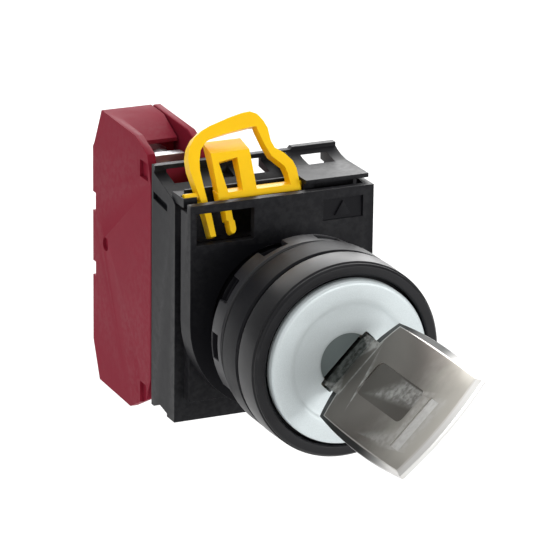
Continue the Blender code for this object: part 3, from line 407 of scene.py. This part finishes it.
def turned(name, outline_at, sides, material, sharp=38.0):
    """A ring-shaped body; outline_at(angle) is its closed (y, radius) section."""
    rings = []
    for k in range(sides):
        angle = math.tau * k / sides
        rings.append([(r * math.cos(angle), y, r * math.sin(angle)) for y, r in outline_at(angle)])
    return placed(name, swept(rings), material, sharp)


def cleaned(node):
    """A copy of a CAD node's mesh, welded, with its flat faces whole again."""
    mesh = NODES[node].data.copy()
    bm = bmesh.new()
    bm.from_mesh(mesh)
    bmesh.ops.remove_doubles(bm, verts=bm.verts, dist=2e-6)
    bmesh.ops.dissolve_limit(bm, angle_limit=math.radians(0.6), verts=bm.verts, edges=bm.edges)
    bm.to_mesh(mesh)
    bm.free()
    return mesh


def softened(node, name, material, width_mm, segments=3):
    """A CAD node with its moulded or stamped edges rounded."""
    obj = bpy.data.objects.new(name, cleaned(node))
    bpy.context.scene.collection.objects.link(obj)
    shaded(obj, material, 50.0)
    round_edges(obj, width_mm, segments, 32.0)
    return stands_for(obj, node)


def boolean(target, tool, operation="DIFFERENCE"):
    """Apply one exact boolean and drop the tool."""
    modifier = target.modifiers.new("Cut", "BOOLEAN")
    modifier.operation = operation
    modifier.solver = "EXACT"
    modifier.object = tool
    with bpy.context.temp_override(object=target, active_object=target, selected_objects=[target]):
        bpy.ops.object.modifier_apply(modifier=modifier.name)
    mesh = tool.data
    bpy.data.objects.remove(tool, do_unlink=True)
    bpy.data.meshes.remove(mesh)
    return target


def prism(name, outline, low, high, turn=0.0):
    """A tool: an (x, z) outline extruded along Y and turned round the Y axis."""
    angle = math.radians(turn)
    bm = swept([[(x * math.cos(angle) - z * math.sin(angle), y, x * math.sin(angle) + z * math.cos(angle))
                 for x, z in outline] for y in (low, high)], closed=False)
    return placed(name, bm, BLACK)


# ---------------------------------------------------------------- round operator pieces

def make_bezel():
    outline = filleted([(-7.0, 13.3), (-7.0, 14.75), (-7.25, 15.05), (-11.72, 14.95), (-11.8, 14.72),
                        (-12.2, 14.72), (-12.5, 14.4), (-12.5, 13.25), (-12.3, 13.0), (-11.3, 13.0),
                        (-11.3, 13.3)], 0.14)
    bezel = turned("bezel", lambda angle: outline, 160, BLACK_SATIN)
    return stands_for(bezel, "bezel_ring")


def make_gasket():
    outline = filleted([(-0.9, 11.3), (-0.9, 14.45), (-0.45, 14.6), (0.0, 14.45), (0.0, 11.3)], 0.12)
    return stands_for(turned("gasket", lambda angle: outline, 128, RUBBER), "panel_gasket")


def thread_radius(y, angle):
    """Right-hand trapezoidal thread with rounded crest and root, fading out at its ends."""
    start, pitch = THREAD["start"], THREAD["pitch"]
    end = start + pitch * THREAD["turns"]
    if y <= start or y >= end:
        return THREAD["radius"] - THREAD["depth"]
    phase = ((y - start) / pitch + angle / math.tau) % 1.0
    ramp = min(max(1.5 - abs(phase - 0.5) * 5.0, 0.0), 1.0)
    crest = ramp * ramp * (3 - 2 * ramp)
    fade = min((y - start) / pitch, (end - y) / pitch, 1.0)
    return THREAD["radius"] - THREAD["depth"] * (1.0 - crest * fade)


def make_housing():
    """Flange, spigot and barrel, with a fine continuous thread."""
    root = THREAD["radius"] - THREAD["depth"]
    front = filleted([(-10.9, 11.6), (-10.9, 13.0), (-6.4, 13.0), (-6.4, 14.7), (-6.1, 15.0), (-1.6, 15.0),
                      (-1.2, 14.65), (-1.2, root), (BARREL_END, root), (BARREL_END, 8.9), (-3.5, 8.9),
                      (-3.5, 11.6)], 0.12)
    seam = next(k for k, (y, r) in enumerate(front) if y > BARREL_END - 1 and r > root - 0.3)
    count = THREAD["turns"] * THREAD["rows"]
    rows = [THREAD["start"] + THREAD["pitch"] * k / THREAD["rows"] for k in range(count + 1)]
    plain = THREAD["radius"] - 0.3

    def section(angle):
        return (front[:seam] + [(y, thread_radius(y, angle)) for y in rows]
                + [(rows[-1] + 0.5, plain), (BARREL_END - 0.3, plain)] + front[seam:])

    housing = turned("operator_shell", section, 120, BLACK, 30.0)
    groove = prism("groove", [(-10.1, -1.5), (-8.0, -1.5), (-8.0, 1.5), (-10.1, 1.5)], 12.2, 30.0)
    return stands_for(boolean(housing, groove), "operator_housing")


def make_locking_ring():
    """Castellated ring: notches for the spanner, every third one closed at the back."""
    outline = filleted([(0.3, 12.4), (0.3, 14.1), (0.6, 14.4), (3.8, 14.4), (4.3, 13.9), (4.3, 11.2),
                        (1.5, 11.2), (1.5, 12.4)], 0.15)
    ring = turned("castellated_ring", lambda angle: outline, 180, BLACK_RING)
    angles = [math.radians(t) for t in range(-NOTCH_HALF_ANGLE, NOTCH_HALF_ANGLE + 1, 4)]
    mouth = [(20 * math.cos(angle), 20 * math.sin(angle)) for angle in angles]
    root = [(NOTCH_ROOT * math.cos(angle), NOTCH_ROOT * math.sin(angle)) for angle in angles[::-1]]
    for k in range(NOTCHES):
        back = 3.6 if k % 3 == 0 else 30.0
        boolean(ring, prism("notch", mouth + root, 1.7, back, FIRST_NOTCH + 360 / NOTCHES * k))
    round_edges(ring, 0.14, 3, 50.0)
    shaded(ring, BLACK_RING)
    return stands_for(ring, "locking_ring")


def make_dial():
    """Silver face: rounded rim, flat annulus, soft dish, recess round the slot, skirt behind."""
    dish = []
    for k in range(13):
        r = RECESS_RADIUS + 0.25 + (8.6 - RECESS_RADIUS) * k / 12
        dish.append((-12.62 - 0.50 * (r / 9.0) ** 3, r))
    outline = ([(-12.25, 0.02), (-12.25, RECESS_RADIUS - 0.12), (-12.28, RECESS_RADIUS - 0.02),
                (-12.55, RECESS_RADIUS + 0.03), (-12.63, RECESS_RADIUS + 0.12)] + dish
               + [(-13.2, 9.0), (-13.33, 9.25), (-13.39, 9.6), (-13.4, 10.0), (-13.4, 11.8), (-13.37, 12.05),
                  (-13.28, 12.25), (-13.13, 12.39), (-12.95, 12.45), (-11.6, 12.47), (-11.3, 12.2),
                  (-11.3, 11.2), (-4.9, 11.2), (-4.9, 9.8), (-10.9, 9.8), (-10.9, 0.02)])
    dial = turned("dial", lambda angle: outline, 160, SILVER_DIAL, 30.0)
    half, tall = 5.1, 1.1
    outline_of_slot = filleted([(-half, -tall), (half, -tall), (half, tall), (-half, tall)], 0.3)
    boolean(dial, prism("slot", outline_of_slot, -30.0, 30.0, KEY_TURN))
    round_edges(dial, 0.12, 2, 55.0)
    shaded(dial, SILVER_DIAL, 35.0)
    return stands_for(dial, "key_dial")


# ---------------------------------------------------------------- key

def bow_outline(inset, steps=12):
    """The bow's four swelling edges; inset 0 is its rim and inset 1 is the edge of its raised field."""
    half, back, front, side_bulge, back_bulge, front_bulge = (
        rim + (field - rim) * inset for rim, field in zip(BOW_RIM, BOW_FIELD))
    middle, reach = (back + front) / 2, (back - front) / 2
    ticks = [2 * k / steps - 1 for k in range(steps)]
    return ([(half * t, back + back_bulge * (1 - t * t)) for t in ticks]
            + [(half + side_bulge * (1 - t * t), middle - reach * t) for t in ticks]
            + [(-half * t, front - front_bulge * (1 - t * t)) for t in ticks]
            + [(-half - side_bulge * (1 - t * t), middle + reach * t) for t in ticks])


def make_key():
    """Nickel key: bow with a rolled edge, sloping border and softened field."""
    rim = KEY_HALF - BORDER_DEPTH
    levels = [(1.14, KEY_HALF), (1.0, KEY_HALF - 0.02), (0.9, KEY_HALF - 0.07), (0.14, rim + 0.02),
              (0.04, rim - 0.03), (0.0, rim - 0.12)]
    rings = [[(x, y, height) for x, y in bow_outline(inset)] for inset, height in levels]
    rings += [[(x, y, -height) for x, y in bow_outline(inset)] for inset, height in levels[::-1]]
    key = placed("key_body", swept(rings, closed=False), NICKEL, 30.0)
    join_box(key, (-4.8, -17.6, -KEY_HALF), (4.8, -12.2, KEY_HALF))
    join_box(key, (-BLADE_HALF, -13.0, -KEY_HALF + 0.1), (BLADE_HALF, 9.4, KEY_HALF - 0.1))
    for side in (-1, 1):
        for k, depth in enumerate(CUT_DEPTHS):
            y, edge = FIRST_CUT + CUT_PITCH * k, side * BLADE_HALF
            low, high = sorted((edge - side * depth, edge + side))
            cut_box(key, (low, y - CUT_HALF, -5), (high, y + CUT_HALF, 5))
        low, high = sorted((side * 0.4, side * 3.35))
        cut_box(key, (-0.7, -12.2, low), (0.7, 30.0, high))
        low, high = sorted((side * (KEY_HALF - SUNK_DEPTH), side * 5))
        left, right, front, back = TRAY
        tray = filleted([(left, front), (right, front), (right, back), (left, back)], 1.0)
        boolean(key, slab(tray, low, high))
        left, right, front, back = STRIP
        cut_box(key, (left, front, low), (right, back, high))
    round_edges(key, 0.10, 3, 40.0)
    key.data.transform(Matrix.Rotation(math.radians(-KEY_TURN), 4, "Y"))
    shaded(key, NICKEL, 30.0)
    return stands_for(key, "key")


def slab(outline, low, high):
    """A tool: an (x, y) outline extruded along Z."""
    rings = [[(x, y, z) for x, y in outline] for z in (low, high)]
    return placed("tool", swept(rings, closed=False), BLACK)


def box_tool(low, high):
    return slab([(low[0], low[1]), (high[0], low[1]), (high[0], high[1]), (low[0], high[1])], low[2], high[2])


def join_box(target, low, high):
    boolean(target, box_tool(low, high), "UNION")


def cut_box(target, low, high):
    boolean(target, box_tool(low, high))


# ---------------------------------------------------------------- moulded and stamped pieces

def make_rest():
    softened("adaptor_plate", "adaptor_front", BLACK, 0.22)
    softened("adaptor_body", "adaptor_shell", BLACK, 0.20)
    softened("locking_lever", "release_lever", YELLOW, 0.35, 4)
    softened("block_housing", "contact_block", RED, 0.22)
    softened("block_cover", "contact_block_cover", RED, 0.22)
    softened("lock_plug", "plug", PLATED, 0.10, 2)
    softened("cylinder_sleeve", "sleeve", BRASS, 0.12, 2)
    for place in ("upper", "lower"):
        softened("terminal_" + place, "terminal_strip_" + place, STEEL, 0.08, 2)
        softened("clamp_washer_" + place, "wire_clamp_" + place, STEEL, 0.15, 2)
        softened("terminal_screw_" + place, "clamp_screw_" + place, STEEL, 0.15, 3)
    shown = {obj.get("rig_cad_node") for obj in bpy.data.objects if obj.get("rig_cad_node")}
    for node in shown:
        obj = NODES[node]
        obj.data.materials.clear()
        obj.data.materials.append(MATERIAL_OF_SLOT[SLOT_OF[node]])


# ---------------------------------------------------------------- floor, light, camera

def make_floor():
    bm = bmesh.new()
    bmesh.ops.create_grid(bm, x_segments=8, y_segments=8, size=4000)
    bmesh.ops.translate(bm, vec=(0, 0, -60), verts=bm.verts)
    tree = Tree("floor")
    shade = tree.mix(tree.noise(60.0, 2.0), (0.86, 0.86, 0.86), (0.88, 0.88, 0.88))
    tree.link(shade, tree.shader.inputs["Base Color"])
    tree.shader.inputs["Roughness"].default_value = 0.9
    placed("floor", bm, tree.material)


def area_light(name, place, size, power):
    """A white softbox aimed at the origin; place and size in metres, power in watts."""
    light = bpy.data.lights.new(name, "AREA")
    light.shape = "RECTANGLE"
    light.size, light.size_y = size
    light.energy = power
    obj = bpy.data.objects.new(name, light)
    obj.location = place
    obj.rotation_euler = (-Vector(place)).to_track_quat("-Z", "Y").to_euler()
    bpy.context.scene.collection.objects.link(obj)


def make_light():
    world = bpy.data.worlds.new("studio")
    bpy.context.scene.world = world
    world.use_nodes = True
    background = world.node_tree.nodes["Background"]
    background.inputs["Color"].default_value = (1.0, 1.0, 1.0, 1.0)
    background.inputs["Strength"].default_value = 0.25
    area_light("overhead", (0.0, 0.15, 0.9), (1.5, 1.5), 8.0)
    area_light("backdrop", (0.40, 1.06, 0.46), (1.5, 0.8), 19.0)
    area_light("left", (-0.9, -0.25, 0.35), (0.5, 0.7), 1.6)
    area_light("front", (0.5, -1.0, 0.16), (0.8, 0.3), 6.5)


def make_camera():
    azimuth, elevation, roll = (math.radians(angle) for angle in (-24.9002, 18.5401, 0.7078))
    back = Vector((math.sin(azimuth) * math.cos(elevation), -math.cos(azimuth) * math.cos(elevation),
                   math.sin(elevation)))
    right = Vector((math.cos(azimuth), math.sin(azimuth), 0))
    up = back.cross(right)
    level_right = right * math.cos(roll) + up * math.sin(roll)
    level_up = up * math.cos(roll) - right * math.sin(roll)
    data = bpy.data.cameras.new("camera")
    data.sensor_width = 36.0
    data.lens = 259.65452
    data.clip_start, data.clip_end = 0.05, 20.0
    camera = bpy.data.objects.new("camera", data)
    turn = Matrix((level_right, level_up, back)).transposed().to_4x4()
    camera.matrix_world = Matrix.Translation((-0.2378315, -0.499478, 0.1947752)) @ turn
    bpy.context.scene.collection.objects.link(camera)
    bpy.context.scene.camera = camera


make_floor()
make_light()
make_camera()
make_bezel()
make_gasket()
make_housing()
make_locking_ring()
make_dial()
make_key()
make_rest()
bpy.context.scene.view_settings.view_transform = "Standard"
